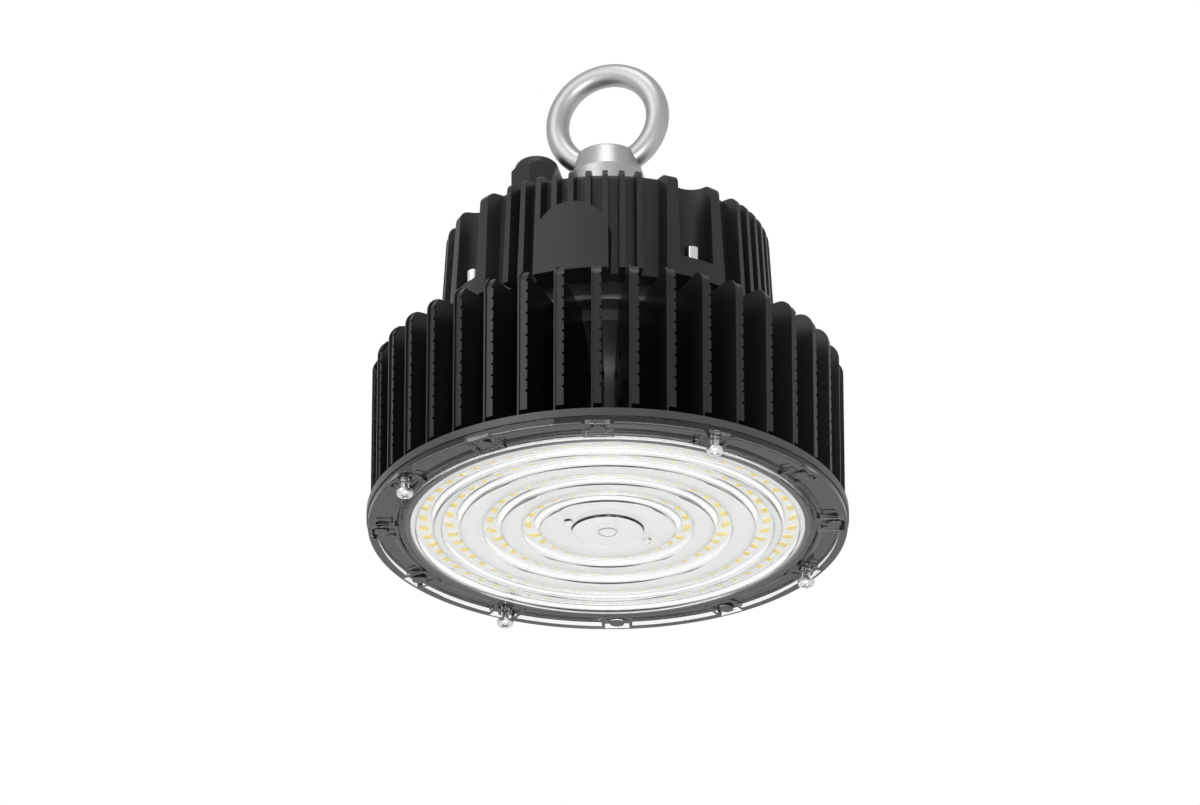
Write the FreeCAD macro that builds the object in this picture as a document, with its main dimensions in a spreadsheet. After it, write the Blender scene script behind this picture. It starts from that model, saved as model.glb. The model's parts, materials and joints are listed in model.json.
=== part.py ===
import FreeCAD, Part
import math
import operator
import os
import Sketcher

# Round high bay light, in millimetres. +Z is up as it hangs, the floor plane z = 0 lies under the heads
# of the reflector screws, and -Y is the side with the plain arched panel. Angles run from -Y towards +X.

SIZES = {
    # Base plate and the screws that stand below it
    "plate_radius": 120.0,
    "plate_thick": 3.9,
    "plate_bore": 6.0,
    "head_radius": 4.25,
    "head_high": 3.0,
    "head_round": 1.6,
    "head_gap": 4.0,
    "stud_radius": 2.0,
    "stud_inset": 7.6,
    "stud_angle": 40.5,
    "stud_count": 4.0,
    "thread_fit": 0.02,
    # Clear lens
    "lens_inset": 0.7,
    "skirt_high": 4.3,
    "skirt_wide": 4.0,
    "flange_thick": 1.8,
    "bead_inset": 12.5,
    "bead_wide": 3.5,
    "bead_high": 1.1,
    "optic_inset": 19.5,
    "optic_thick": 2.2,
    "ridge_wide": 9.9,
    "ridge_high": 3.2,
    "ridge_bore": 2.0,
    "ridge_bore_high": 1.0,
    "hub_radius": 18.0,
    "hub_high": 1.2,
    "lug_count": 12.0,
    "lug_angle": 10.5,
    "lug_wide": 15.5,
    "lug_inset": 16.0,
    "lug_wall": 1.6,
    "post_radius": 3.6,
    "post_fit": 0.25,
    # LED board
    "board_inset": 2.5,
    "board_thick": 1.6,
    "chip_size": 3.0,
    "chip_high": 0.7,
    "chip_gap": 0.3,
    "chip_pitch": 10.2,
    "ring_one": 7.0,
    "ring_two": 20.0,
    "ring_three": 40.5,
    "ring_four": 59.8,
    "gasket_wide": 1.9,
    "gasket_gap": 0.3,
    # Core and fins
    "core_radius": 38.0,
    "core_bore": 9.0,
    "flare_start": 48.9,
    "flare_high": 29.0,
    "flange_radius": 60.0,
    "flange_high": 5.9,
    "fin_count": 40.0,
    "fin_inset": 1.8,
    "fin_high": 82.7,
    "fin_thick": 0.9,
    "fin_fit": 0.2,
    "fin_corner": 9.0,
    "lip_back": 0.8,
    "lip_thick": 0.8,
    "lip_wide": 4.0,
    "lip_lift": 3.8,
    "lip_sweep": 52.0,
    "notch_deep": 1.3,
    "notch_open": 1.9,
    "notch_pitch": 6.05,
    "notch_first": 10.0,
    "notch_count": 11.0,
    # Adapter plate and the tray of the driver
    "adapter_radius": 71.0,
    "adapter_thick": 3.9,
    "adapter_round": 1.6,
    "neck_radius": 68.0,
    "neck_wall": 4.0,
    "neck_high": 7.2,
    "tray_radius": 70.0,
    "tray_thick": 3.5,
    "tray_lug_wide": 15.0,
    "tray_lug_reach": 82.0,
    "tray_fit": 0.3,
    # Driver housing
    "housing_radius": 84.6,
    "housing_high": 57.4,
    "housing_draft": 2.9,
    "housing_round": 5.0,
    "groove_deep": 7.6,
    "rib_foot": 3.4,
    "rib_top": 2.6,
    "rib_pitch": 6.0,
    "rib_clear": 18.0,
    "cavity_radius": 62.0,
    "roof_thick": 4.0,
    "boss_foot": 34.6,
    "boss_top": 30.4,
    "pocket_radius": 9.5,
    "seat_high": 11.0,
    "bolt_circle": 78.4,
    "bolt_count": 4.0,
    "bolt_angle": 45.0,
    "bolt_radius": 2.1,
    "bolt_hole_fit": 0.4,
    "bolt_head_radius": 3.6,
    "bolt_head_high": 8.0,
    "socket_radius": 2.3,
    "socket_deep": 2.5,
    "panel_half_wide": 18.8,
    "panel_spring": 22.4,
    "panel_rise": 16.5,
    "crown_radius": 54.0,
    "crown_high": 10.0,
    "crown_draft": 3.0,
    "pad_radius": 14.5,
    "pad_high": 8.0,
    "seal_thick": 1.0,
    # Lifting eye
    "eye_radius": 26.5,
    "eye_bar": 5.9,
    "eye_rise": 59.0,
    "eye_turn": -3.5,
    "collar_base": 19.5,
    "collar_waist": 18.6,
    "collar_waist_high": 26.5,
    "collar_top": 15.5,
    "collar_high": 38.8,
    "collar_round": 1.2,
    "shank_radius": 6.0,
    "shank_long": 14.0,
    # Cable gland
    "gland_place": 37.0,
    "gland_turn": 27.0,
    "gland_flats": 23.0,
    "gland_flange": 6.0,
    "gland_thread": 8.0,
    "gland_wall": 2.4,
    "gland_stem": 12.0,
    "gland_nut_gap": 0.4,
    "gland_nut": 20.6,
    "nut_chamfer": 2.6,
    "dome_radius": 11.3,
    "dome_high": 5.0,
    "dome_round": 5.2,
    "dome_crest": 6.3,
    "gland_mouth": 5.2,
    "cable_radius": 4.5,
    # Driver
    "post_high": 5.0,
    "circuit_long": 92.0,
    "circuit_wide": 68.0,
    "circuit_thick": 1.6,
    "circuit_inset": 6.0,
    "standoff_radius": 3.5,
    "coil_place": 23.0,
    "coil_long": 34.0,
    "coil_wide": 30.0,
    "coil_high": 26.0,
    "coil_yoke": 12.0,
    "can_radius": 8.0,
    "can_high": 25.0,
    "can_pitch": 18.0,
    "can_round": 1.0,
    "lead_radius": 1.1,
    "lead_space": 3.2,
}
OPERATIONS = {"+": operator.add, "-": operator.sub, "*": operator.mul, "/": operator.truediv}


class Size:
    """A size or a formula of sizes: what it comes to now, and the text that the document keeps."""

    def __init__(self, number, text):
        self.number = number
        self.text = text

    def __add__(self, other):
        return combine(self, "+", other)

    def __sub__(self, other):
        return combine(self, "-", other)

    def __rsub__(self, other):
        return combine(other, "-", self)

    def __mul__(self, other):
        return combine(self, "*", other)

    def __truediv__(self, other):
        return combine(self, "/", other)

    def __neg__(self):
        return combine(0, "-", self)


def as_size(value):
    return value if isinstance(value, Size) else Size(float(value), "%.6f" % value)


def combine(left, sign, right):
    left, right = as_size(left), as_size(right)
    return Size(OPERATIONS[sign](left.number, right.number), "(%s %s %s)" % (left.text, sign, right.text))


def sine(angle):
    angle = as_size(angle)
    return Size(math.sin(math.radians(angle.number)), "sin(%s)" % angle.text)


def cosine(angle):
    angle = as_size(angle)
    return Size(math.cos(math.radians(angle.number)), "cos(%s)" % angle.text)


class Sheet:
    """The driving sizes, each as an attribute that carries its cell's alias."""

    def __init__(self, document):
        cells = document.addObject("Spreadsheet::Sheet", "Sizes")
        for row, (name, number) in enumerate(SIZES.items(), start=1):
            cells.set("A%d" % row, name)
            cells.set("B%d" % row, "%g" % number)
            cells.setAlias("B%d" % row, name)
            setattr(self, name, Size(number, "Sizes." + name))


doc = FreeCAD.newDocument("HighBayLight")
s = Sheet(doc)
doc.recompute()


def count(size):
    return int(round(size.number))


def bind(item, sizes):
    """Tie each property path of a document object to its formula."""
    for path, size in sizes.items():
        item.setExpression(path, as_size(size).text)


def place(item, x=0, y=0, z=0, turn=0):
    """Tie where an object stands, and its turn about Z in degrees."""
    bind(item, {"Placement.Base.x": x, "Placement.Base.y": y, "Placement.Base.z": z})
    bind(item, {"Placement.Rotation.Angle": turn})
    return item


def around(radius, angle):
    """The point on a circle at an angle that runs from -Y towards +X."""
    return radius * sine(angle), -(radius * cosine(angle))


def cylinder(name, radius, height, x=0, y=0, z=0):
    item = doc.addObject("Part::Cylinder", name)
    bind(item, {"Radius": radius, "Height": height})
    return place(item, x, y, z)


def box(name, length, width, height, x, y, z):
    """A box centred on x and y, standing on z."""
    item = doc.addObject("Part::Box", name)
    bind(item, {"Length": length, "Width": width, "Height": height})
    return place(item, x - length / 2, y - width / 2, z)


def radial_box(name, inner, outer, width, height, z, angle):
    """A box that reaches from one radius to another along the direction of an angle."""
    item = doc.addObject("Part::Box", name)
    bind(item, {"Length": outer - inner, "Width": width, "Height": height})
    x = inner * sine(angle) - width / 2 * cosine(angle)
    y = -(inner * cosine(angle)) - width / 2 * sine(angle)
    return place(item, x, y, z, as_size(angle) - 90)


def hexagon(name, flats, height, x, y, z, turn=0):
    item = doc.addObject("Part::Prism", name)
    item.Polygon = 6
    bind(item, {"Circumradius": flats / 2 / cosine(30), "Height": height})
    return place(item, x, y, z, turn)


def cut(name, base, tool):
    item = doc.addObject("Part::Cut", name)
    item.Base = base
    item.Tool = tool
    return item


def fuse(name, pieces):
    item = doc.addObject("Part::MultiFuse", name)
    item.Shapes = pieces
    return item


def common(name, pieces):
    item = doc.addObject("Part::MultiCommon", name)
    item.Shapes = pieces
    return item


def group(name, pieces):
    item = doc.addObject("Part::Compound", name)
    item.Links = pieces
    return item


class Arc:
    """Between two corners of an outline: the arc of this radius, bulging to the left or right of travel."""

    def __init__(self, radius, left=False):
        self.radius = as_size(radius)
        self.left = left

    def edge(self, start, end):
        radius = self.radius.number
        chord = end - start
        side = FreeCAD.Vector(-chord.y, chord.x, 0).normalize()
        rise = radius - math.sqrt(max(radius**2 - (chord.Length / 2) ** 2, 0.0))
        middle = (start + end) / 2 + side * (rise if self.left else -rise)
        return Part.Arc(start, middle, end)


def draw(sketch, steps):
    """Draw a closed outline of corners and arcs in a sketch, each corner and radius tied to its formula."""
    corners = [step for step in steps if not isinstance(step, Arc)]
    points = [FreeCAD.Vector(as_size(x).number, as_size(y).number, 0) for x, y in corners]
    ends = []
    index = -1
    for step, following in zip(steps, steps[1:] + steps[:1]):
        if isinstance(step, Arc):
            continue
        index += 1
        start, end = points[index], points[(index + 1) % len(points)]
        if isinstance(following, Arc):
            edge = sketch.addGeometry(following.edge(start, end), False)
            radius = sketch.addConstraint(Sketcher.Constraint("Radius", edge, following.radius.number))
            bind(sketch, {"Constraints[%d]" % radius: following.radius})
            first, last = [sketch.getPoint(edge, end).distanceToPoint(start) for end in (1, 2)]
            ends.append((edge, 1, 2) if first < last else (edge, 2, 1))
        else:
            edge = sketch.addGeometry(Part.LineSegment(start, end), False)
            ends.append((edge, 1, 2))
    for (edge, _, last), (following, first, _) in zip(ends, ends[1:] + ends[:1]):
        sketch.addConstraint(Sketcher.Constraint("Coincident", edge, last, following, first))
    for (edge, first, _), (x, y), point in zip(ends, corners, points):
        across = sketch.addConstraint(Sketcher.Constraint("DistanceX", -1, 1, edge, first, point.x))
        upward = sketch.addConstraint(Sketcher.Constraint("DistanceY", -1, 1, edge, first, point.y))
        bind(sketch, {"Constraints[%d]" % across: x, "Constraints[%d]" % upward: y})
    return sketch


def section(name, steps):
    """An outline in the XZ plane, radius across and height up."""
    sketch = doc.addObject("Sketcher::SketchObject", name)
    sketch.Placement = FreeCAD.Placement(FreeCAD.Vector(), FreeCAD.Rotation(FreeCAD.Vector(1, 0, 0), 90))
    return draw(sketch, steps)


def bulge(half, rise):
    """Radius of an arc, from half its chord and how far it rises."""
    return (half * half + rise * rise) / (rise * 2)


def outward(name, outline, start, end, angle):
    """An upright outline run out from one radius to another along the direction of an angle."""
    item = doc.addObject("Part::Extrusion", name)
    item.Base = outline
    item.DirMode = "Custom"
    item.Dir = FreeCAD.Vector(0, -1, 0)
    item.Solid = True
    bind(item, {"LengthFwd": end - start})
    x, y = around(start, angle)
    return place(item, x, y, turn=angle)


def turned(name, steps=None, outline=None, x=0, y=0, z=0):
    """An outline turned about its own Z axis."""
    item = doc.addObject("Part::Revolution", name)
    item.Source = outline if outline else section(name + "_outline", steps)
    item.Axis = FreeCAD.Vector(0, 0, 1)
    item.Angle = 360
    item.Solid = True
    return place(item, x, y, z)


def body_sketch(body, name, role, steps):
    """A sketch on one of a body's own origin planes."""
    sketch = body.newObject("Sketcher::SketchObject", name)
    plane = next(feature for feature in body.Origin.OriginFeatures if feature.Role == role)
    sketch.AttachmentSupport = [(plane, "")]
    sketch.MapMode = "FlatFace"
    return draw(sketch, steps)


# Heights, from the floor plane up

lens_bottom = s.head_high + s.head_gap
plate_bottom = lens_bottom + s.skirt_high
plate_top = plate_bottom + s.plate_thick
flange_under = plate_top + s.flare_start + s.flare_high
core_top = flange_under + s.flange_high
adapter_top = core_top + s.adapter_thick
housing_bottom = adapter_top + s.neck_high
tray_top = housing_bottom + s.tray_thick
housing_top = housing_bottom + s.housing_high
crown_top = housing_top + s.crown_high
gland_foot = housing_top - s.roof_thick
gland_seat = crown_top + s.pad_high
board_face = plate_bottom - s.board_thick
lens_inside = board_face - s.chip_high - s.chip_gap
flange_face = plate_bottom - s.flange_thick
optic_face = lens_inside - s.optic_thick
circuit_bottom = tray_top + s.post_high
circuit_top = circuit_bottom + s.circuit_thick

# Radii that follow the rim of the base plate

stud_circle = s.plate_radius - s.stud_inset
lens_radius = s.plate_radius - s.lens_inset
bead_radius = s.plate_radius - s.bead_inset
optic_radius = s.plate_radius - s.optic_inset
board_radius = optic_radius - s.board_inset
led_rings = [board_radius - inset for inset in (s.ring_one, s.ring_two, s.ring_three, s.ring_four)]
fin_radius = s.plate_radius - s.fin_inset

nodes = {}


def keep(name, item):
    """Name a finished sub-part."""
    item.Label = name
    nodes[name] = item


def stud_points():
    """Where the reflector screws stand."""
    step = 360 / count(s.stud_count)
    return [around(stud_circle, s.stud_angle + step * k) for k in range(count(s.stud_count))]


def bolt_angles():
    """The angles of the bosses that hold the driver housing down."""
    step = 360 / count(s.bolt_count)
    return [s.bolt_angle + step * k for k in range(count(s.bolt_count))]


def build_base_plate():
    disc = cylinder("plate_disc", s.plate_radius, s.plate_thick, z=plate_bottom)
    holes = [cylinder("plate_lead_hole", s.plate_bore, s.plate_thick, z=plate_bottom)]
    for x, y in stud_points():
        holes.append(cylinder("plate_thread", s.stud_radius + s.thread_fit, s.plate_thick, x, y, plate_bottom))
    keep("base_plate", cut("plate_cut", disc, group("plate_holes", holes)))


def ridge_steps(middle):
    """One ring-shaped ridge of the lens, outer foot first."""
    half = s.ridge_wide / 2
    return [(middle + half, optic_face), Arc(bulge(half, s.ridge_high), left=True), (middle - half, optic_face)]


def groove_steps(middle):
    """The round groove inside one ridge, over a ring of LEDs, inner edge first."""
    half = s.ridge_bore
    return [(middle - half, lens_inside), Arc(bulge(half, s.ridge_bore_high)), (middle + half, lens_inside)]


def lens_outline():
    """Half section of the lens, from the outer top edge down, along the face, and back along the inside."""
    gasket_outer = board_radius + s.gasket_gap * 2 + s.gasket_wide
    outline = [
        (lens_radius, plate_bottom),
        (lens_radius, lens_bottom),
        (lens_radius - s.skirt_wide, lens_bottom),
        (lens_radius - s.skirt_wide, flange_face),
        (bead_radius, flange_face),
        Arc(bulge(s.bead_wide / 2, s.bead_high), left=True),
        (bead_radius - s.bead_wide, flange_face),
        (optic_radius + s.optic_thick, flange_face),
        (optic_radius + s.optic_thick, optic_face),
    ]
    for middle in led_rings:
        outline += ridge_steps(middle)
    outline += [
        (s.hub_radius, optic_face),
        (s.hub_radius, optic_face - s.hub_high),
        (0, optic_face - s.hub_high),
        (0, lens_inside),
    ]
    for middle in reversed(led_rings):
        outline += groove_steps(middle)
    outline += [
        (board_radius + s.gasket_gap, lens_inside),
        (board_radius + s.gasket_gap, board_face),
        (gasket_outer, board_face),
        (gasket_outer, plate_bottom),
    ]
    return outline


def build_lens():
    """Skirt, flange, bead and ridges in one turning, with twelve walled lugs; a post stands in each lug."""
    outside, pockets, posts = [], [], []
    lug_inner = s.plate_radius - s.lug_inset
    lug_outer = lens_radius - s.skirt_wide / 2
    high = s.skirt_high
    for k in range(count(s.lug_count)):
        angle = s.lug_angle + 360 / count(s.lug_count) * k
        outside.append(radial_box("lug", lug_inner, lug_outer, s.lug_wide, high, lens_bottom, angle))
        room = s.lug_wide - s.lug_wall * 2
        inner = lug_inner + s.lug_wall
        outer = lens_radius - s.lug_wall
        deep = flange_face - lens_bottom
        pockets.append(radial_box("lug_pocket", inner, outer, room, deep, lens_bottom, angle))
        x, y = around(stud_circle, angle)
        posts.append(cylinder("lug_post", s.post_radius, high, x, y, lens_bottom))
    bores = []
    for x, y in stud_points():
        bores.append(cylinder("post_bore", s.stud_radius + s.post_fit, s.skirt_high, x, y, lens_bottom))
    moulding = fuse("lens_moulding", [turned("lens_disc", lens_outline()), *outside])
    hollowed = cut("lens_hollowed", moulding, group("lug_pockets", pockets))
    posted = fuse("lens_posted", [hollowed, *posts])
    keep("lens", cut("lens_bored", posted, group("post_bores", bores)))


def build_lens_gasket():
    inner = board_radius + s.gasket_gap + s.gasket_gap / 2
    outer = inner + s.gasket_wide
    ring = [(inner, board_face), (outer, board_face), (outer, plate_bottom), (inner, plate_bottom)]
    keep("lens_gasket", turned("gasket_ring", ring))


def build_led_board():
    disc = cylinder("board_disc", board_radius, s.board_thick, z=board_face)
    hole = cylinder("board_hole", s.lead_radius, s.board_thick, z=board_face)
    keep("led_board", cut("board_cut", disc, hole))


def build_led_chips():
    """Four rings of square chips on the underside of the board, about one pitch apart."""
    chips = []
    low = board_face - s.chip_high
    for radius in led_rings:
        number = 4 * round(2 * math.pi * radius.number / s.chip_pitch.number / 4)
        for k in range(number):
            inner, outer = radius - s.chip_size / 2, radius + s.chip_size / 2
            chips.append(radial_box("chip", inner, outer, s.chip_size, s.chip_high, low, 360 / number * k))
    keep("led_chips", group("chips", chips))


def pan_screw_outline():
    """Half section of a pan-head screw that stands on z = 0, head down, and threads into the base plate."""
    return section("pan_screw_outline", [
        (0, 0),
        (s.head_radius - s.head_round, 0),
        Arc(s.head_round),
        (s.head_radius, s.head_round),
        (s.head_radius, s.head_high),
        (s.stud_radius, s.head_high),
        (s.stud_radius, plate_top),
        (0, plate_top),
    ])


def build_reflector_screws():
    outline = pan_screw_outline()
    screws = [turned("pan_screw", outline=outline, x=x, y=y) for x, y in stud_points()]
    keep("reflector_screws", group("pan_screws", screws))


def trumpet(gap):
    """The flared side of the core from its foot to the underside of its flange, moved out by a gap."""
    flare_radius = bulge(s.flare_high, s.flange_radius - s.core_radius)
    return [
        (s.core_radius + gap, plate_top),
        (s.core_radius + gap, plate_top + s.flare_start),
        Arc(flare_radius, left=True),
        (s.flange_radius + gap, flange_under),
    ]


def build_core():
    """Trumpet-shaped column that carries the heat of the base plate to the fins, with a bore for the leads."""
    top = [(s.flange_radius, core_top), (s.core_bore, core_top), (s.core_bore, plate_top)]
    keep("core", turned("core_turning", trumpet(0) + top))


def blade_steps():
    """Side view of one fin: it follows the core inside and has a round outer top corner."""
    fin_top = plate_top + s.fin_high
    return trumpet(s.fin_fit) + [
        (s.flange_radius + s.fin_fit, fin_top),
        (fin_radius - s.fin_corner, fin_top),
        Arc(s.fin_corner, left=True),
        (fin_radius, fin_top - s.fin_corner),
        (fin_radius, plate_top),
    ]


def lip_steps():
    """Side view of the folded lip: a strip along the outer edge that turns in round the corner."""
    outer = s.fin_corner - s.lip_back
    inner = outer - s.lip_thick
    middle_x = fin_radius - s.fin_corner
    middle_z = plate_top + s.fin_high - s.fin_corner
    foot = plate_top + s.lip_lift
    return [
        (middle_x + inner, foot),
        (middle_x + inner, middle_z),
        Arc(inner),
        (middle_x + inner * cosine(s.lip_sweep), middle_z + inner * sine(s.lip_sweep)),
        (middle_x + outer * cosine(s.lip_sweep), middle_z + outer * sine(s.lip_sweep)),
        Arc(outer, left=True),
        (middle_x + outer, middle_z),
        (middle_x + outer, foot),
    ]


def notch_steps():
    """The lowest V notch in the free edge of the lip, seen from outside."""
    edge = s.fin_thick + s.lip_wide
    middle = plate_top + s.lip_lift + s.notch_first
    half = s.notch_open / 2
    return [
        (edge, middle - half),
        (edge + s.notch_open, middle),
        (edge, middle + half),
        (edge - s.notch_deep, middle),
    ]


def build_first_fin():
    """A stamped fin: blade, folded lip, and a row of V notches along the lip."""
    body = doc.addObject("PartDesign::Body", "fin_body")
    blade = body.newObject("PartDesign::Pad", "blade")
    blade.Profile = body_sketch(body, "blade_outline", "XZ_Plane", blade_steps())
    blade.Reversed = True
    bind(blade, {"Length": s.fin_thick})
    lip = body.newObject("PartDesign::Pad", "lip")
    lip.Profile = body_sketch(body, "lip_outline", "XZ_Plane", lip_steps())
    lip.Reversed = True
    bind(lip, {"Length": s.fin_thick + s.lip_wide})
    doc.recompute()
    before = body.Shape.Volume
    notch = body.newObject("PartDesign::Pocket", "notch")
    notch.Profile = body_sketch(body, "notch_outline", "YZ_Plane", notch_steps())
    notch.Reversed = True
    bind(notch, {"Length": fin_radius})
    row = body.newObject("PartDesign::LinearPattern", "notch_row")
    row.Originals = [notch]
    row.Direction = (notch.Profile[0], ["V_Axis"])
    row.Occurrences = count(s.notch_count)
    bind(row, {"Length": s.notch_pitch * (s.notch_count - 1)})
    body.Tip = row
    doc.recompute()
    if body.Shape.Volume >= before:
        raise RuntimeError("the notches cut nothing")
    return body


def build_fins():
    """The first fin stands along +X, and each of the others is its clone turned about the axis."""
    first = build_first_fin()
    keep("fin_01", first)
    for k in range(1, count(s.fin_count)):
        clone = doc.addObject("PartDesign::Body", "fin_clone")
        feature = clone.newObject("PartDesign::FeatureBase", "fin_base")
        feature.BaseFeature = first
        clone.Tip = feature
        place(clone, turn=360 / s.fin_count.number * k)
        keep("fin_%02d" % (k + 1), clone)


def build_adapter_plate():
    edge = s.adapter_radius - s.adapter_round
    outline = [
        (s.core_bore, core_top),
        (edge, core_top),
        Arc(s.adapter_round),
        (s.adapter_radius, core_top + s.adapter_round),
        (s.adapter_radius, adapter_top - s.adapter_round),
        Arc(s.adapter_round),
        (edge, adapter_top),
        (s.core_bore, adapter_top),
    ]
    keep("adapter_plate", turned("adapter_turning", outline))


def build_driver_tray():
    """Lid under the driver: neck ring, floor, a lug under each boss, and standoffs for the board."""
    floor = [
        (s.core_bore, housing_bottom),
        (s.neck_radius - s.neck_wall, housing_bottom),
        (s.neck_radius - s.neck_wall, adapter_top),
        (s.neck_radius, adapter_top),
        (s.neck_radius, housing_bottom),
        (s.tray_radius, housing_bottom),
        (s.tray_radius, tray_top),
        (s.core_bore, tray_top),
    ]
    pieces = [turned("tray_turning", floor)]
    holes = []
    inner = s.neck_radius - s.neck_wall
    for angle in bolt_angles():
        reach, wide, high = s.tray_lug_reach, s.tray_lug_wide, s.tray_thick
        pieces.append(radial_box("tray_lug", inner, reach, wide, high, housing_bottom, angle))
        x, y = around(s.bolt_circle, angle)
        holes.append(cylinder("tray_thread", s.bolt_radius + s.thread_fit, high, x, y, housing_bottom))
    for x, y in circuit_corners():
        pieces.append(cylinder("standoff", s.standoff_radius, s.post_high, x, y, tray_top))
    keep("driver_tray", cut("tray_cut", fuse("tray_solid", pieces), group("tray_holes", holes)))


def circuit_corners():
    """Where the driver board stands on its standoffs."""
    x = s.circuit_long / 2 - s.circuit_inset
    y = s.circuit_wide / 2 - s.circuit_inset
    return [(x, y), (-x, y), (-x, -y), (x, -y)]


def build_housing_gasket():
    inner = s.cavity_radius + s.tray_fit
    outer = s.tray_radius - s.tray_fit
    top = tray_top + s.seal_thick
    ring = [(inner, tray_top), (outer, tray_top), (outer, top), (inner, top)]
    keep("housing_gasket", turned("housing_seal", ring))


def drafted(inset, rounding):
    """Side of the casting: it leans in from the foot to a rounded top edge, the inset inside the ribs."""
    foot = s.housing_radius - inset
    top = foot - s.housing_draft
    return [
        (0, housing_bottom),
        (foot, housing_bottom),
        (top, housing_top - rounding),
        Arc(rounding),
        (top - rounding, housing_top),
        (0, housing_top),
    ]


def rib_angles():
    """Ribs all round, except where a boss and the groove on each side of it stand."""
    quarter = 360 // count(s.bolt_count)
    for angle in range(0, 360, count(s.rib_pitch)):
        if abs(angle % quarter - s.bolt_angle.number) > s.rib_clear.number:
            yield angle


def tapered(name, foot, top):
    """Upright outline of a rib or boss, from the foot of the housing to its top."""
    return section(name, [
        (-(foot / 2), housing_bottom),
        (foot / 2, housing_bottom),
        (top / 2, housing_top),
        (-(top / 2), housing_top),
    ])


def build_driver_housing():
    """Drafted casting: ribs, bosses and panel are cut from one envelope, so that their faces run flush."""
    envelope = turned("housing_envelope", drafted(0, s.housing_round))
    inner = turned("housing_wall", drafted(s.groove_deep, s.housing_round / 2))
    reach = s.housing_radius + s.rib_foot
    root = s.cavity_radius - s.rib_foot
    rib = tapered("rib_outline", s.rib_foot, s.rib_top)
    forms = [outward("rib", rib, root, reach, angle) for angle in rib_angles()]
    boss = tapered("boss_outline", s.boss_foot, s.boss_top)
    forms += [outward("boss", boss, root, reach, angle) for angle in bolt_angles()]
    forms.append(outward("panel", panel_outline(), root, reach, 0))
    sides = common("housing_sides", [envelope, fuse("housing_forms", [inner, *forms])])
    crown = turned("housing_crown", [
        (0, housing_top - s.roof_thick),
        (s.crown_radius, housing_top - s.roof_thick),
        (s.crown_radius, housing_top),
        (s.crown_radius - s.crown_draft, crown_top),
        (0, crown_top),
    ])
    pad = cylinder("gland_pad", s.pad_radius, s.pad_high, x=-s.gland_place, z=crown_top)
    solid = fuse("housing_solid", [sides, crown, pad])
    keep("driver_housing", cut("housing_cut", solid, group("housing_hollows", housing_hollows(reach))))


def panel_outline():
    """Plain panel with an arched top, on the front."""
    half = s.panel_half_wide
    spring = housing_bottom + s.panel_spring
    return section("panel_outline", [
        (-half, housing_bottom),
        (half, housing_bottom),
        (half, spring),
        Arc(bulge(half, s.panel_rise)),
        (-half, spring),
    ])


def housing_hollows(reach):
    """The driver's room, the recess for the tray, the screw pockets and the two holes in the crown."""
    recess = s.tray_thick + s.seal_thick
    hollows = [
        cylinder("driver_room", s.cavity_radius, s.housing_high - s.roof_thick, z=housing_bottom),
        cylinder("tray_recess", s.tray_radius + s.tray_fit, recess, z=housing_bottom),
        cylinder("eye_thread", s.shank_radius + s.thread_fit, s.shank_long, z=crown_top - s.shank_long),
        cylinder("gland_hole", s.gland_thread + s.thread_fit, gland_seat - gland_foot, -s.gland_place, 0, gland_foot),
    ]
    seat = housing_bottom + s.seat_high
    high = s.housing_high - s.seat_high
    for angle in bolt_angles():
        x, y = around(s.bolt_circle, angle)
        wide = s.tray_lug_wide + s.tray_fit * 2
        end = s.tray_lug_reach + s.tray_fit
        hollows.append(radial_box("lug_recess", s.cavity_radius, end, wide, recess, housing_bottom, angle))
        bolt_hole = s.bolt_radius + s.bolt_hole_fit
        hollows.append(cylinder("bolt_hole", bolt_hole, s.seat_high, x, y, housing_bottom))
        hollows.append(cylinder("pocket", s.pocket_radius, high, x, y, seat))
        mouth = s.pocket_radius * 2
        hollows.append(radial_box("pocket_mouth", s.bolt_circle, reach, mouth, high, seat, angle))
    return hollows


def build_housing_screws():
    """Socket-head screws that stand on the pocket floors and thread into the lugs of the tray."""
    screws = []
    seat = housing_bottom + s.seat_high
    for angle in bolt_angles():
        x, y = around(s.bolt_circle, angle)
        head = cylinder("bolt_head", s.bolt_head_radius, s.bolt_head_high, x, y, seat)
        shank = cylinder("bolt_shank", s.bolt_radius, s.seat_high, x, y, housing_bottom)
        socket_low = seat + s.bolt_head_high - s.socket_deep
        socket = hexagon("bolt_socket", s.socket_radius * 2, s.socket_deep, x, y, socket_low)
        screws.append(cut("bolt", fuse("bolt_solid", [head, shank]), socket))
    keep("housing_screws", group("bolts", screws))


def build_eye_bolt():
    """Bar ring on a conical collar, with a threaded shank in the crown of the housing."""
    stem = turned("eye_stem", [
        (0, crown_top - s.shank_long),
        (s.shank_radius, crown_top - s.shank_long),
        (s.shank_radius, crown_top),
        (s.collar_base, crown_top),
        (s.collar_waist, crown_top + s.collar_waist_high),
        (s.collar_top, crown_top + s.collar_high - s.collar_round),
        Arc(s.collar_round),
        (s.collar_top - s.collar_round, crown_top + s.collar_high),
        (0, crown_top + s.collar_high),
    ])
    ring = doc.addObject("Part::Torus", "eye_ring")
    bind(ring, {"Radius1": s.eye_radius, "Radius2": s.eye_bar})
    ring.Placement.Rotation = FreeCAD.Rotation(FreeCAD.Vector(1, 0, 0), 90)
    bind(ring, {"Placement.Base.z": crown_top + s.eye_rise})
    keep("eye_bolt", place(fuse("eye", [stem, ring]), turn=s.eye_turn))


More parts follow.
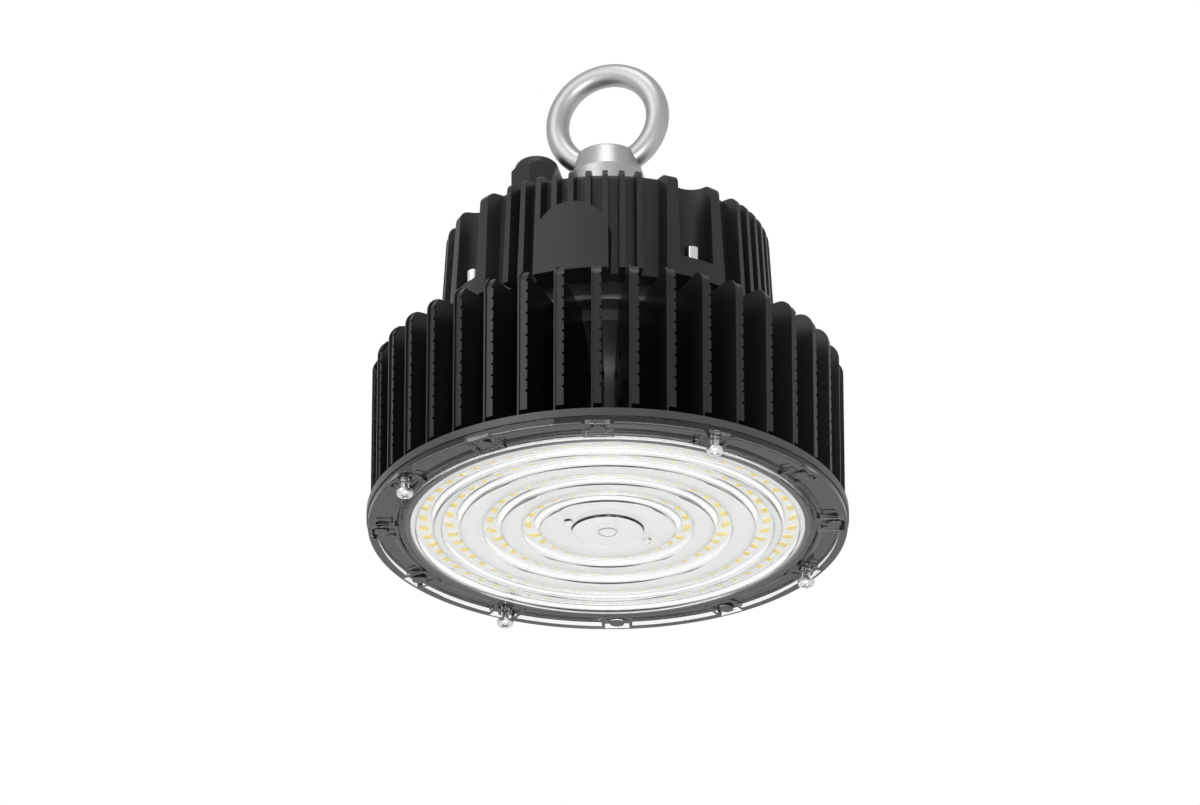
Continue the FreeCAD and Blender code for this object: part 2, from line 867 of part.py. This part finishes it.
def build_gland():
    """Cable gland on a pad of the crown: threaded body, rubber seal and domed nut."""
    x = -s.gland_place
    flange_top = gland_seat + s.gland_flange
    stem_top = flange_top + s.gland_stem
    stem = stem_top - gland_foot
    body = fuse("gland_solid", [
        hexagon("gland_hexagon", s.gland_flats, s.gland_flange, x, 0, gland_seat, s.gland_turn),
        cylinder("gland_stem", s.gland_thread, stem, x, 0, gland_foot),
    ])
    bore = cylinder("gland_bore", s.gland_thread - s.gland_wall, stem, x, 0, gland_foot)
    keep("gland_body", cut("gland_bored", body, bore))
    nut_low = flange_top + s.gland_nut_gap
    shoulder = nut_low + s.gland_nut
    nut_top = shoulder + s.dome_high
    outside = s.gland_flats / 2 / cosine(30) + s.gland_nut_gap
    dome = turned("nut_dome", x=x, steps=[
        (0, nut_low),
        (outside, nut_low),
        (outside, shoulder - s.nut_chamfer),
        (s.dome_radius, shoulder),
        Arc(s.dome_round),
        (s.dome_crest, nut_top),
        (0, nut_top),
    ])
    bar = hexagon("nut_hexagon", s.gland_flats, s.gland_nut + s.dome_high, x, 0, nut_low, s.gland_turn)
    seal_top = nut_top - s.gland_wall
    seal_radius = s.gland_thread - s.gland_nut_gap
    room = turned("nut_room", x=x, steps=[
        (0, nut_low),
        (s.gland_thread + s.thread_fit, nut_low),
        (s.gland_thread + s.thread_fit, stem_top),
        (seal_radius + s.thread_fit, stem_top),
        (seal_radius + s.thread_fit, shoulder),
        (s.gland_mouth + s.thread_fit, seal_top),
        (s.gland_mouth + s.thread_fit, nut_top),
        (0, nut_top),
    ])
    keep("gland_nut", cut("nut_cut", common("nut_blank", [bar, dome]), room))
    keep("gland_seal", turned("seal_turning", x=x, steps=[
        (s.cable_radius, stem_top),
        (seal_radius, stem_top),
        (seal_radius, shoulder),
        (s.gland_mouth, seal_top),
        (s.cable_radius, seal_top),
    ]))


def build_driver():
    """Circuit board on the standoffs of the tray, with its transformer and three capacitors."""
    board = box("circuit", s.circuit_long, s.circuit_wide, s.circuit_thick, 0, 0, circuit_bottom)
    holes = [cylinder("circuit_hole", s.lead_radius + s.thread_fit, s.circuit_thick, x, y, circuit_bottom)
             for x, y in lead_points()]
    keep("driver_board", cut("circuit_cut", board, group("circuit_holes", holes)))
    side = s.coil_place
    coil = box("coil", s.coil_long, s.coil_wide, s.coil_high, side, 0, circuit_top)
    yoke_wide = s.coil_wide + s.coil_yoke
    yoke_high = s.coil_high - s.coil_yoke / 2
    yoke = box("yoke", s.coil_yoke, yoke_wide, yoke_high, side, 0, circuit_top)
    keep("driver_transformer", fuse("transformer", [coil, yoke]))
    can = section("can_outline", [
        (0, circuit_top),
        (s.can_radius, circuit_top),
        (s.can_radius, circuit_top + s.can_high - s.can_round),
        Arc(s.can_round),
        (s.can_radius - s.can_round, circuit_top + s.can_high),
        (0, circuit_top + s.can_high),
    ])
    cans = [turned("can", outline=can, x=-side, y=s.can_pitch * k) for k in (-1, 0, 1)]
    keep("driver_capacitors", group("cans", cans))


def lead_points():
    half = s.lead_space / 2
    return [(half, 0), (-half, 0)]


def build_led_leads():
    """Two leads that run from the driver board down the bore of the core to the LED board."""
    high = circuit_top - plate_bottom
    leads = [cylinder("lead", s.lead_radius, high, x, y, plate_bottom) for x, y in lead_points()]
    keep("led_leads", group("leads", leads))


build_eye_bolt()
build_driver_housing()
build_housing_screws()
build_gland()
build_housing_gasket()
build_driver_tray()
build_driver()
build_led_leads()
build_adapter_plate()
build_core()
build_fins()
build_base_plate()
build_led_board()
build_led_chips()
build_lens_gasket()
build_lens()
build_reflector_screws()
doc.recompute()

for item in doc.Objects:
    if "Invalid" in item.State or "Error" in item.State:
        raise RuntimeError("%s did not build: %s" % (item.Label, item.State))
os.makedirs("parts", exist_ok=True)
for name, item in nodes.items():
    if item.Shape.isNull() or not item.Shape.isValid():
        raise RuntimeError("%s has no valid shape" % name)
    item.Shape.exportStep(os.path.join("parts", name + ".step"))
print(len(nodes), "sub-parts written")
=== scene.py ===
import json
import math

import bmesh
import bpy
from mathutils import Matrix, Vector


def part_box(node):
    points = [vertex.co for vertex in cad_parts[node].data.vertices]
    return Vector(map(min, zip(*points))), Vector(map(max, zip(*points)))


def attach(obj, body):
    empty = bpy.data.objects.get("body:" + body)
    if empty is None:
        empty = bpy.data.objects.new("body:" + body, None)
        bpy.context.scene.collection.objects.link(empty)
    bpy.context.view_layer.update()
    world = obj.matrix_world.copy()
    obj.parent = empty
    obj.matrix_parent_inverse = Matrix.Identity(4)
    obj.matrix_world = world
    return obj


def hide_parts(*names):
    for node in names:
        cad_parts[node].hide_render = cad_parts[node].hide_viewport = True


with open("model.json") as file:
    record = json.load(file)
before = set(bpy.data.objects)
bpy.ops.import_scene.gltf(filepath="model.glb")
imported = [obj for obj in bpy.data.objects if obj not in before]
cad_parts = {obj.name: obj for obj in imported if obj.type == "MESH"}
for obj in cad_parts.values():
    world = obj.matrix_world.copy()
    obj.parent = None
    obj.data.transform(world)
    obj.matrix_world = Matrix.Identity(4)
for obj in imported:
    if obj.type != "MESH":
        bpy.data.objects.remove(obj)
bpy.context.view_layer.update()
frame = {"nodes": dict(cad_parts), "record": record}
record = frame["record"]

MM = 0.001  # metres

# Camera, fitted to the photograph

AZIMUTH = 12.954  # degrees, from -Y towards +X
ELEVATION = -26.289  # degrees, below the horizon
DISTANCE = 4.179  # metres
FOCAL = 250.4  # millimetres
SENSOR = 36.0  # millimetres, the frame's long side
AIM_HIGH = 0.07714  # metres, the height of the point that the camera looks at
AIM_LEFT = 0.003852  # metres, how far to the left of the axis that point is


def direction(azimuth, elevation):
    """The way out from the axis to an azimuth and elevation in degrees."""
    around, up = math.radians(azimuth), math.radians(elevation)
    return Vector((math.sin(around) * math.cos(up), -math.cos(around) * math.cos(up), math.sin(up)))


def place_camera():
    out = direction(AZIMUTH, ELEVATION)
    right = Vector((0, 0, 1)).cross(out).normalized()
    aim = Vector((0, 0, AIM_HIGH)) - right * AIM_LEFT
    data = bpy.data.cameras.new("camera")
    data.sensor_width = SENSOR
    data.lens = FOCAL
    data.clip_end = 100.0
    camera = bpy.data.objects.new("camera", data)
    camera.location = aim + out * DISTANCE
    camera.rotation_euler = out.to_track_quat("Z", "Y").to_euler()
    bpy.context.scene.collection.objects.link(camera)
    bpy.context.scene.camera = camera


place_camera()

# Materials


class Nodes:
    """A material's node tree, with short calls for the nodes that the finishes share."""

    def __init__(self, name):
        self.material = bpy.data.materials.new(name)
        self.material.use_nodes = True
        self.tree = self.material.node_tree
        self.shader = self.tree.nodes["Principled BSDF"]
        self.output = self.tree.nodes["Material Output"]
        self.place = self.tree.nodes.new("ShaderNodeTexCoord").outputs["Object"]

    def add(self, kind, **settings):
        """A node with its properties and sockets set by name."""
        node = self.tree.nodes.new(kind)
        for key, value in settings.items():
            if hasattr(node, key):
                setattr(node, key, value)
            else:
                node.inputs[key.replace("_", " ")].default_value = value
        return node

    def link(self, start, end):
        self.tree.links.new(start, end)

    def noise(self, scale, detail=4.0, stretch=(1, 1, 1), rough=0.5):
        """Noise over the object's own place, its grain stretched along an axis where stretch is small."""
        mapping = self.add("ShaderNodeMapping", Scale=stretch)
        self.link(self.place, mapping.inputs["Vector"])
        node = self.add("ShaderNodeTexNoise", Scale=scale, Detail=detail, Roughness=rough)
        self.link(mapping.outputs["Vector"], node.inputs["Vector"])
        return node.outputs["Fac"]

    def ramp(self, factor, low, high, start=0.3, end=0.7):
        """A factor between start and end spread over the values from low to high."""
        node = self.add("ShaderNodeMapRange")
        node.inputs["From Min"].default_value = start
        node.inputs["From Max"].default_value = end
        node.inputs["To Min"].default_value = low
        node.inputs["To Max"].default_value = high
        self.link(factor, node.inputs["Value"])
        return node.outputs["Result"]

    def blend(self, factor, first, second):
        """A colour between two colours."""
        node = self.add("ShaderNodeMix", data_type="RGBA")
        self.link(factor, node.inputs["Factor"])
        node.inputs["A"].default_value = (*first, 1)
        node.inputs["B"].default_value = (*second, 1)
        return next(end for end in node.outputs if end.type == "RGBA")

    def bump(self, height, distance, strength=1.0):
        node = self.add("ShaderNodeBump", Strength=strength, Distance=distance)
        self.link(height, node.inputs["Height"])
        return node.outputs["Normal"]


def mix_shaders(tree, factor, first, second):
    """The first shader where the factor is 0, and the second where it is 1."""
    mix = tree.nodes.new("ShaderNodeMixShader")
    tree.links.new(factor, mix.inputs["Fac"])
    tree.links.new(first, mix.inputs[1])
    tree.links.new(second, mix.inputs[2])
    return mix.outputs["Shader"]


def either_ray(tree, first, second):
    """1 on rays of two kinds, named as on the Light Path node, and 0 on others."""
    path = tree.nodes.new("ShaderNodeLightPath")
    either = tree.nodes.new("ShaderNodeMath")
    either.operation = "MAXIMUM"
    tree.links.new(path.outputs[first], either.inputs[0])
    tree.links.new(path.outputs[second], either.inputs[1])
    return either.outputs["Value"]


def finish(name, first, second, rough, grain, bump, metallic=0.0, patch=14.0, stretch=(1, 1, 1),
           **sockets):
    """A surface with slow patches of two colours, gloss between two roughnesses, and a fine grain.

    patch and grain are the scales of the slow and the fine noise, and bump is the grain's height.
    """
    nodes = Nodes(name)
    slow = nodes.noise(patch, detail=5.0, stretch=stretch)
    fine = nodes.noise(grain, detail=3.0, stretch=stretch, rough=0.6)
    fine_share = 0.35
    mixed = nodes.add("ShaderNodeMath", operation="MULTIPLY_ADD")
    nodes.link(fine, mixed.inputs[0])
    mixed.inputs[1].default_value = fine_share
    nodes.link(slow, mixed.inputs[2])
    colour = nodes.blend(nodes.ramp(mixed.outputs[0], 0.0, 1.0, start=0.45, end=0.9), first, second)
    nodes.link(colour, nodes.shader.inputs["Base Color"])
    nodes.link(nodes.ramp(slow, rough[0], rough[1]), nodes.shader.inputs["Roughness"])
    nodes.link(nodes.bump(fine, bump), nodes.shader.inputs["Normal"])
    nodes.shader.inputs["Metallic"].default_value = metallic
    for socket, value in sockets.items():
        nodes.shader.inputs[socket.replace("_", " ")].default_value = value
    return nodes.material


def clear_plastic(name, tint, wave):
    """Clear moulded plastic with slightly wavy faces, which the lamps shine through."""
    nodes = Nodes(name)
    nodes.shader.inputs["Base Color"].default_value = (*tint, 1)
    nodes.shader.inputs["Roughness"].default_value = 0.0
    nodes.shader.inputs["IOR"].default_value = 1.5
    nodes.shader.inputs["Transmission Weight"].default_value = 1.0
    waves = nodes.noise(55.0, detail=2.0)
    nodes.link(nodes.bump(waves, wave), nodes.shader.inputs["Normal"])
    path = nodes.add("ShaderNodeLightPath")
    through = nodes.add("ShaderNodeBsdfTransparent", Color=(*tint, 1))
    surface = mix_shaders(nodes.tree, path.outputs["Is Shadow Ray"], nodes.shader.outputs["BSDF"],
                          through.outputs["BSDF"])
    nodes.link(surface, nodes.output.inputs["Surface"])
    return nodes.material


def phosphor(name):
    """Yellow silicone over an LED, with fine grains of two yellows."""
    nodes = Nodes(name)
    grains = nodes.noise(2600.0, detail=2.0)
    colour = nodes.blend(nodes.ramp(grains, 0.0, 1.0), (0.7, 0.53, 0.05), (0.8, 0.66, 0.14))
    nodes.link(colour, nodes.shader.inputs["Base Color"])
    nodes.link(nodes.ramp(grains, 0.35, 0.55), nodes.shader.inputs["Roughness"])
    nodes.link(nodes.bump(grains, 0.05 * MM), nodes.shader.inputs["Normal"])
    return nodes.material


LOW_GLOSS = 0.36  # keeps the black finishes black under the lamps

MATERIALS = {
    "zinc_steel": finish("zinc_steel", (0.36, 0.36, 0.37), (0.47, 0.47, 0.48), (0.34, 0.44),
                         grain=900.0, bump=0.04 * MM, metallic=1.0),
    "black_casting": finish("black_casting", (0.006, 0.006, 0.0065), (0.011, 0.011, 0.012), (0.34, 0.46),
                            grain=850.0, bump=0.06 * MM, Specular_IOR_Level=LOW_GLOSS),
    "black_plate": finish("black_plate", (0.03, 0.03, 0.031), (0.042, 0.042, 0.043), (0.3, 0.42),
                          grain=1200.0, bump=0.04 * MM),
    "black_core": finish("black_core", (0.05, 0.05, 0.051), (0.07, 0.07, 0.071), (0.42, 0.55),
                         grain=1000.0, bump=0.04 * MM),
    "black_fin": finish("black_fin", (0.005, 0.005, 0.0055), (0.009, 0.009, 0.01), (0.26, 0.36),
                        grain=1500.0, bump=0.02 * MM, stretch=(1, 1, 0.2), Specular_IOR_Level=LOW_GLOSS),
    "black_nylon": finish("black_nylon", (0.006, 0.006, 0.006), (0.011, 0.011, 0.011), (0.3, 0.42),
                          grain=1800.0, bump=0.05 * MM, Specular_IOR_Level=LOW_GLOSS),
    "black_rubber": finish("black_rubber", (0.012, 0.012, 0.012), (0.022, 0.022, 0.022), (0.55, 0.7),
                           grain=1500.0, bump=0.05 * MM),
    "grey_silicone": finish("grey_silicone", (0.2, 0.2, 0.2), (0.26, 0.26, 0.26), (0.5, 0.65),
                            grain=1500.0, bump=0.04 * MM),
    "bright_screw": finish("bright_screw", (0.62, 0.62, 0.61), (0.78, 0.78, 0.77), (0.18, 0.3),
                           grain=1400.0, bump=0.03 * MM, metallic=1.0),
    "clear_lens": clear_plastic("clear_lens", (0.985, 0.99, 0.988), wave=0.02 * MM),
    "white_board": finish("white_board", (0.73, 0.73, 0.72), (0.79, 0.79, 0.78), (0.3, 0.42),
                          grain=2200.0, bump=0.02 * MM),
    "yellow_phosphor": phosphor("yellow_phosphor"),
    "green_circuit": finish("green_circuit", (0.01, 0.11, 0.04), (0.02, 0.17, 0.07), (0.3, 0.42),
                            grain=1500.0, bump=0.02 * MM),
    "amber_tape": finish("amber_tape", (0.6, 0.33, 0.04), (0.75, 0.45, 0.08), (0.3, 0.42),
                         grain=1200.0, bump=0.03 * MM),
    "black_sleeve": finish("black_sleeve", (0.012, 0.012, 0.018), (0.022, 0.022, 0.03), (0.22, 0.32),
                           grain=900.0, bump=0.02 * MM),
    "red_sheath": finish("red_sheath", (0.42, 0.02, 0.015), (0.55, 0.04, 0.025), (0.36, 0.5),
                         grain=1500.0, bump=0.03 * MM),
}

for part in record["subparts"]:
    for slot in frame["nodes"][part["node"]].material_slots:
        slot.material = MATERIALS[part["material_slot"]]

# Pieces

PLATE_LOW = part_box("base_plate")[0][2]
PLATE_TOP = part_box("base_plate")[1][2]
BOARD_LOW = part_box("led_board")[0][2]
BOARD_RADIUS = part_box("led_board")[1][0]
CHIP_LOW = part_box("led_chips")[0][2]
LENS_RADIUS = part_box("lens")[1][0]
STUD_CIRCLE = 112.4 * MM  # radius at which the lugs' posts and the pan-head screws stand
STUD_ANGLE = 40.5  # degrees, of the first of them
LUGS = 12
STUDS = 4
FINS = 40
SHARP_FROM = 28  # degrees between two faces whose edge shows


def outward(angle, radius=1.0, height=0.0):
    """A point at a radius and height along an angle that runs from -Y towards +X."""
    around = math.radians(angle)
    return Vector((radius * math.sin(around), -radius * math.cos(around), height))


def turn_to(angle):
    """Turns a shape that points along -Y to another angle."""
    return Matrix.Rotation(math.radians(angle), 4, "Z")


def bow(start, end, rise, steps=4):
    """Points of an arc from start to end that rises to the left of the way between them."""
    first, last = Vector(start), Vector(end)
    half = (last - first) / 2
    radius = (half.length**2 + rise**2) / (2 * abs(rise))
    side = Vector((-half.y, half.x)).normalized() * math.copysign(1, rise)
    centre = (first + last) / 2 + side * (abs(rise) - radius)
    sweep = math.asin(min(half.length / radius, 1.0))
    along = half.normalized()
    points = [start]
    for step in range(1, steps):
        turn = sweep * (2 * step / steps - 1)
        points.append(tuple(centre + side * radius * math.cos(turn) + along * radius * math.sin(turn)))
    return [*points, end]


def lathe(outline, segments):
    """A closed outline of radius and height turned about the axis."""
    axis = 1e-7
    build = bmesh.new()
    rings = []
    for radius, height in outline:
        if radius < axis:
            rings.append([build.verts.new((0, 0, height))] * segments)
        else:
            turns = [360 * k / segments for k in range(segments)]
            rings.append([build.verts.new(outward(turn, radius, height)) for turn in turns])
    for ring, following in zip(rings, rings[1:] + rings[:1]):
        for k in range(segments):
            corners = [ring[k], ring[k - 1], following[k - 1], following[k]]
            corners = [corner for index, corner in enumerate(corners) if corner not in corners[:index]]
            if len(corners) > 2:
                build.faces.new(corners)
    bmesh.ops.recalc_face_normals(build, faces=build.faces)
    return build


def block(low, high):
    """A box between two corners."""
    build = bmesh.new()
    bmesh.ops.create_cube(build, size=1.0)
    low, high = Vector(low), Vector(high)
    bmesh.ops.scale(build, vec=high - low, verts=build.verts)
    bmesh.ops.translate(build, vec=(low + high) / 2, verts=build.verts)
    return build


def rod(radius, low, high, segments=48):
    """A cylinder on the axis between two heights."""
    return lathe([(0, low), (radius, low), (radius, high), (0, high)], segments)


def joined(builds):
    """Several builds as one, each moved by its own matrix."""
    whole = bmesh.new()
    for build, matrix in builds:
        mesh = bpy.data.meshes.new("step")
        build.to_mesh(mesh)
        mesh.transform(matrix)
        whole.from_mesh(mesh)
        bpy.data.meshes.remove(mesh)
    return whole


def as_object(name, build):
    mesh = bpy.data.meshes.new(name)
    build.to_mesh(mesh)
    build.free()
    item = bpy.data.objects.new(name, mesh)
    bpy.context.scene.collection.objects.link(item)
    return item


def combine(base, build, operation):
    """Cuts a build out of an object, or adds it. Faces that lie in one plane make this fail."""
    tool = as_object("tool", build)
    modifier = base.modifiers.new("combine", "BOOLEAN")
    modifier.object = tool
    modifier.operation = operation
    modifier.solver = "EXACT"
    bpy.context.view_layer.update()
    shaped = bpy.data.meshes.new_from_object(base.evaluated_get(bpy.context.evaluated_depsgraph_get()))
    base.modifiers.clear()
    base.data = shaped
    bpy.data.objects.remove(tool)


def settle(item, slot, *nodes):
    """Smooths an object's faces, gives it the slot's finish, and shows it in place of the nodes."""
    item.data.materials.clear()
    item.data.materials.append(MATERIALS[slot])
    item.data.shade_smooth()
    item.data.set_sharp_from_angle(angle=math.radians(SHARP_FROM))
    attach(item, "root")
    if nodes:
        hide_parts(*nodes)


# Lens: rim, bead, four ridges with a round channel over each ring of LEDs, and a hub

RINGS = [BOARD_RADIUS - inset * MM for inset in (7.0, 20.0, 40.5, 59.8)]
INSIDE = CHIP_LOW - 0.3 * MM  # inner face, just under the LEDs
FACE = INSIDE - 2.2 * MM  # outer face between the ridges
FLANGE = PLATE_LOW - 1.8 * MM  # outer face of the flange round them
LENS_LOW = PLATE_LOW - 4.3 * MM  # edge of the rim
ROUNDING = 0.5 * MM
ROUNDING_RISE = 0.2 * MM
DOWN, INWARD, UP = (0, -1), (-1, 0), (0, 1)


def rounded(radius, height, arrive, leave):
    """A corner of an outline as a short arc, between the way that arrives and the way that leaves."""
    start = (radius - arrive[0] * ROUNDING, height - arrive[1] * ROUNDING)
    end = (radius + leave[0] * ROUNDING, height + leave[1] * ROUNDING)
    turn = leave[0] * arrive[1] - leave[1] * arrive[0]
    return bow(start, end, math.copysign(ROUNDING_RISE, turn))


def lens_outline():
    """The lens in section: inwards along the outer face, and back along the inner face."""
    rim = LENS_RADIUS - 4.0 * MM
    bead, bead_wide, bead_rise = BOARD_RADIUS + 9.5 * MM, 3.5 * MM, 1.1 * MM
    step = BOARD_RADIUS + 4.7 * MM
    ridge_half, ridge_rise = 4.95 * MM, 3.2 * MM
    channel_half, channel_deep = 3.2 * MM, 2.3 * MM
    hub, hub_face = 18.0 * MM, FACE - 1.2 * MM
    ring_out, ring_in, ring_rise = 5.0 * MM, 4.2 * MM, 0.35 * MM
    board_room = BOARD_RADIUS + 0.3 * MM
    gasket_room = BOARD_RADIUS + 2.5 * MM
    outline = [
        (LENS_RADIUS, PLATE_LOW),
        *rounded(LENS_RADIUS, LENS_LOW, DOWN, INWARD),
        *rounded(rim, LENS_LOW, INWARD, UP),
        *rounded(rim, FLANGE, UP, INWARD),
        *bow((bead, FLANGE), (bead - bead_wide, FLANGE), bead_rise, steps=10),
        *rounded(step, FLANGE, INWARD, DOWN),
        *rounded(step, FACE, DOWN, INWARD),
    ]
    for middle in RINGS:
        outline += bow((middle + ridge_half, FACE), (middle - ridge_half, FACE), ridge_rise, steps=18)
    outline += [
        *rounded(hub, FACE, INWARD, DOWN),
        *rounded(hub, hub_face, DOWN, INWARD),
        *bow((ring_out, hub_face), (ring_in, hub_face), ring_rise, steps=8),
        (0, hub_face),
        (0, INSIDE),
    ]
    for middle in reversed(RINGS):
        start, end = (middle - channel_half, INSIDE), (middle + channel_half, INSIDE)
        outline += bow(start, end, -channel_deep, steps=14)
    return [
        *outline,
        (board_room, INSIDE),
        (board_room, BOARD_LOW),
        (gasket_room, BOARD_LOW),
        (gasket_room, PLATE_LOW),
    ]


def build_lens():
    """The turned lens with walled lugs at its rim and a post in each, and four of the posts bored."""
    lens = as_object("lens_moulding", lathe(lens_outline(), segments=288))
    half, wall = 15.5 / 2 * MM, 1.6 * MM
    inner, outer = 104.0 * MM, LENS_RADIUS - 2.0 * MM
    room_in, room_out = inner + wall, LENS_RADIUS - wall
    sunk = 0.4 * MM  # how far an added form reaches into the lens
    apart = (0.03 * MM, 0.05 * MM, 0.07 * MM)  # keeps the faces of lugs, posts and rooms off the lens's own
    lug_low, post_low, room_top = LENS_LOW + apart[0], LENS_LOW + apart[1], FLANGE + apart[2]
    post_radius, bore_radius = 3.6 * MM, 2.25 * MM
    gate_radius, gate_high, gate_circle = 2.2 * MM, 1.4 * MM, 22.3 * MM
    lugs, rooms, posts, bores = [], [], [], []
    for k in range(LUGS):
        angle = STUD_ANGLE + 360 // LUGS * k
        place = turn_to(angle)
        lugs.append((block((-half, -outer, lug_low), (half, -inner, FLANGE + sunk)), place))
        room = block((wall - half, -room_out, LENS_LOW - MM), (half - wall, -room_in, room_top))
        rooms.append((room, place))
        at = Matrix.Translation(outward(angle, STUD_CIRCLE))
        posts.append((rod(post_radius, post_low, FLANGE + sunk), at))
        if k % (LUGS // STUDS) == 0:
            bores.append((rod(bore_radius, LENS_LOW - MM, PLATE_LOW + MM), at))
    gates = []
    for angle in (-48, 132):
        gate = rod(gate_radius, FACE - gate_high, FACE + sunk)
        gates.append((gate, Matrix.Translation(outward(angle, gate_circle))))
    combine(lens, joined(lugs), "UNION")
    combine(lens, joined(rooms), "DIFFERENCE")
    combine(lens, joined(posts + gates), "UNION")
    combine(lens, joined(bores), "DIFFERENCE")
    settle(lens, "clear_lens", "lens")


build_lens()


def build_screws():
    """Pan heads with a cross recess, on shanks with ring-shaped threads that end inside the base plate."""
    head, head_high, edge = 4.25 * MM, 3.0 * MM, 0.2 * MM
    dome, dome_rise = 1.6 * MM, 0.47 * MM
    core, crest, pitch = 1.68 * MM, 2.0 * MM, 0.7 * MM
    arm, arm_half, arm_deep = 2.3 * MM, 0.5 * MM, 1.3 * MM
    outline = [
        (0, 0),
        *bow((head - dome, 0), (head, dome), -dome_rise, steps=8),
        (head, head_high - edge),
        (head - edge, head_high),
        (core, head_high),
    ]
    for k in range(int((PLATE_TOP - head_high) / pitch)):
        low = head_high + pitch * k
        for radius, share in ((core, 0.2), (crest, 0.5), (crest, 0.6), (core, 0.9)):
            outline.append((radius, low + pitch * share))
    outline += [(core, PLATE_TOP), (0, PLATE_TOP)]
    screw = as_object("pan_screw", lathe(outline, segments=40))
    for x, y in ((arm, arm_half), (arm_half, arm)):
        combine(screw, block((-x, -y, -MM), (x, y, arm_deep)), "DIFFERENCE")
    one = bmesh.new()
    one.from_mesh(screw.data)
    bpy.data.objects.remove(screw)
    places = []
    for k in range(STUDS):
        tightened = 17 + 71 * k
        at = Matrix.Translation(outward(STUD_ANGLE + 360 / STUDS * k, STUD_CIRCLE)) @ turn_to(tightened)
        places.append((one, at))
    settle(as_object("reflector_pan_screws", joined(places)), "bright_screw", "reflector_screws")


build_screws()


def build_dimples():
    """Round marks pressed in the blade of every fin, which show on both of its faces."""
    radius, rise, steps = 3.35 * MM, 0.7 * MM, 4
    blade = 0.9 * MM  # the fins' own thickness
    outs = (91.5 * MM, 69.0 * MM, 47.5 * MM)
    heights = (54.1 * MM, 27.9 * MM)  # above the base plate
    sphere = (radius**2 + rise**2) / (2 * rise)
    outline = [(0, rise)]
    for step in range(1, steps + 1):
        across = radius * step / steps
        outline.append((across, rise - (sphere - math.sqrt(sphere**2 - across**2))))
    outline.append((0, 0))
    cap = lathe(outline, segments=20)
    places = []
    for k in range(FINS):
        spin = turn_to(90 + 360 // FINS * k)
        for out in outs:
            for high in heights:
                for side, face in ((1, blade), (-1, 0.0)):
                    lay = Matrix.Rotation(math.radians(90 * side), 4, "Y")
                    places.append((cap, spin @ Matrix.Translation((face, -out, PLATE_TOP + high)) @ lay))
    settle(as_object("fin_dimples", joined(places)), "black_fin")


build_dimples()

# Studio


def lamp(name, azimuth, elevation, distance, size, watts):
    """A round lamp that faces the middle of the light."""
    middle = Vector((0, 0, 0.1))
    data = bpy.data.lights.new(name, "AREA")
    data.shape = "DISK"
    data.size = size
    data.energy = watts
    item = bpy.data.objects.new(name, data)
    out = direction(azimuth, elevation)
    item.location = middle + out * distance
    item.rotation_euler = out.to_track_quat("Z", "Y").to_euler()
    bpy.context.scene.collection.objects.link(item)


lamp("key", azimuth=-35, elevation=24, distance=2.6, size=2.0, watts=16)
lamp("front", azimuth=17, elevation=-23, distance=4.4, size=0.8, watts=60)
lamp("under", azimuth=0, elevation=-68, distance=2.2, size=1.8, watts=11)
lamp("top", azimuth=5, elevation=60, distance=2.4, size=1.4, watts=14)


def studio_world():
    """White to the camera and through the lens, and elsewhere a soft room that is dimmer overhead."""
    world = bpy.data.worlds.new("studio")
    bpy.context.scene.world = world
    world.use_nodes = True
    tree = world.node_tree
    room = tree.nodes["Background"]
    room.inputs["Color"].default_value = (1, 1, 1, 1)
    place = tree.nodes.new("ShaderNodeTexCoord")
    height = tree.nodes.new("ShaderNodeSeparateXYZ")
    level = tree.nodes.new("ShaderNodeMapRange")
    level.inputs["From Min"].default_value = -0.2
    level.inputs["From Max"].default_value = 0.9
    level.inputs["To Min"].default_value = 0.95
    level.inputs["To Max"].default_value = 0.7
    tree.links.new(place.outputs["Generated"], height.inputs["Vector"])
    tree.links.new(height.outputs["Z"], level.inputs["Value"])
    tree.links.new(level.outputs["Result"], room.inputs["Strength"])
    white = tree.nodes.new("ShaderNodeBackground")
    white.inputs["Color"].default_value = (1, 1, 1, 1)
    white.inputs["Strength"].default_value = 1.0
    seen = either_ray(tree, "Is Camera Ray", "Is Transmission Ray")
    surface = mix_shaders(tree, seen, room.outputs["Background"], white.outputs["Background"])
    tree.links.new(surface, tree.nodes["World Output"].inputs["Surface"])


studio_world()


def floor_material():
    """Pale floor that shows white in gloss and through clear plastic."""
    made = finish("floor", (0.93, 0.93, 0.93), (0.96, 0.96, 0.96), (0.8, 0.9),
                  grain=40.0, bump=0.5 * MM, patch=1.0)
    tree = made.node_tree
    white = tree.nodes.new("ShaderNodeEmission")
    seen = either_ray(tree, "Is Glossy Ray", "Is Transmission Ray")
    pale = tree.nodes["Principled BSDF"]
    surface = mix_shaders(tree, seen, pale.outputs["BSDF"], white.outputs["Emission"])
    tree.links.new(surface, tree.nodes["Material Output"].inputs["Surface"])
    return made


bpy.ops.mesh.primitive_plane_add(size=80, location=(0, 0, -6))
floor = bpy.context.object
floor.name = "floor"
floor.data.materials.append(floor_material())

bpy.context.scene.view_settings.view_transform = "Standard"
